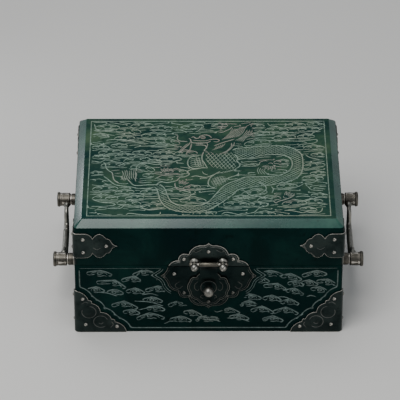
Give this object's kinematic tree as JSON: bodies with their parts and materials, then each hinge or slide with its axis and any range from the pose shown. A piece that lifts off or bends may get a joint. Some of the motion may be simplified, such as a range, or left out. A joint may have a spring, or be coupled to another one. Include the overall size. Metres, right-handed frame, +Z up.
{
  "type": "jade box",
  "caption": "Hinged rectangular jade casket with a bevelled lid, engraved with a dragon among clouds, with lobed dark brass mounts, a front hasp and side bail handles.",
  "frame": {"origin": "centre of the box's underside", "axes": "+X to the viewer's right along the long side, +Y from the front with the hasp to the back with the hinges, +Z up"},
  "size_m": [0.2818, 0.2014, 0.119],
  "materials": {
    "jade": "polished, with mottled dark and mid green",
    "dark_brass": "dark patinated, worn bright on edges and rivets"
  },
  "bodies": {
    "box": {"box_body": "jade", "body_bracket_front_right": "dark_brass", "body_bracket_front_left": "dark_brass", "body_bracket_back_right": "dark_brass", "body_bracket_back_left": "dark_brass", "lock_plate_lower": "dark_brass", "handle_post_right_front": "dark_brass", "handle_post_right_back": "dark_brass", "handle_post_left_front": "dark_brass", "handle_post_left_back": "dark_brass", "hinge_leaf_body_left": "dark_brass", "hinge_leaf_body_right": "dark_brass", "hinge_pin_left": "dark_brass", "hinge_pin_right": "dark_brass"},
    "lid": {"lid": "jade", "lid_bracket_front_right": "dark_brass", "lid_bracket_front_left": "dark_brass", "lid_bracket_back_right": "dark_brass", "lid_bracket_back_left": "dark_brass", "lock_plate_upper": "dark_brass", "hasp_post_left": "dark_brass", "hasp_post_right": "dark_brass", "hasp_rod": "dark_brass", "hinge_leaf_lid_left": "dark_brass", "hinge_leaf_lid_right": "dark_brass"},
    "hasp": {"hasp_flap": "dark_brass", "hasp_knob": "dark_brass"},
    "bail_right": {"handle_bail_right": "dark_brass"},
    "bail_left": {"handle_bail_left": "dark_brass"}
  },
  "joints": [
    {"name": "lid_hinge", "type": "hinge", "parent": "box", "child": "lid", "pos_m": [0, 0.0935, 0.07315], "axis": [-1, 0, 0], "range_deg": [0, 100]},
    {"name": "hasp_hinge", "type": "hinge", "parent": "lid", "child": "hasp", "pos_m": [0, -0.0955, 0.0782], "axis": [-1, 0, 0], "range_deg": [0, 160]},
    {"name": "right_bail_swing", "type": "hinge", "parent": "box", "child": "bail_right", "pos_m": [0.1318, 0, 0.0515], "axis": [0, -1, 0], "range_deg": [-25, 205]},
    {"name": "left_bail_swing", "type": "hinge", "parent": "box", "child": "bail_left", "pos_m": [-0.1318, 0, 0.0515], "axis": [0, 1, 0], "range_deg": [-25, 205]}
  ]
}
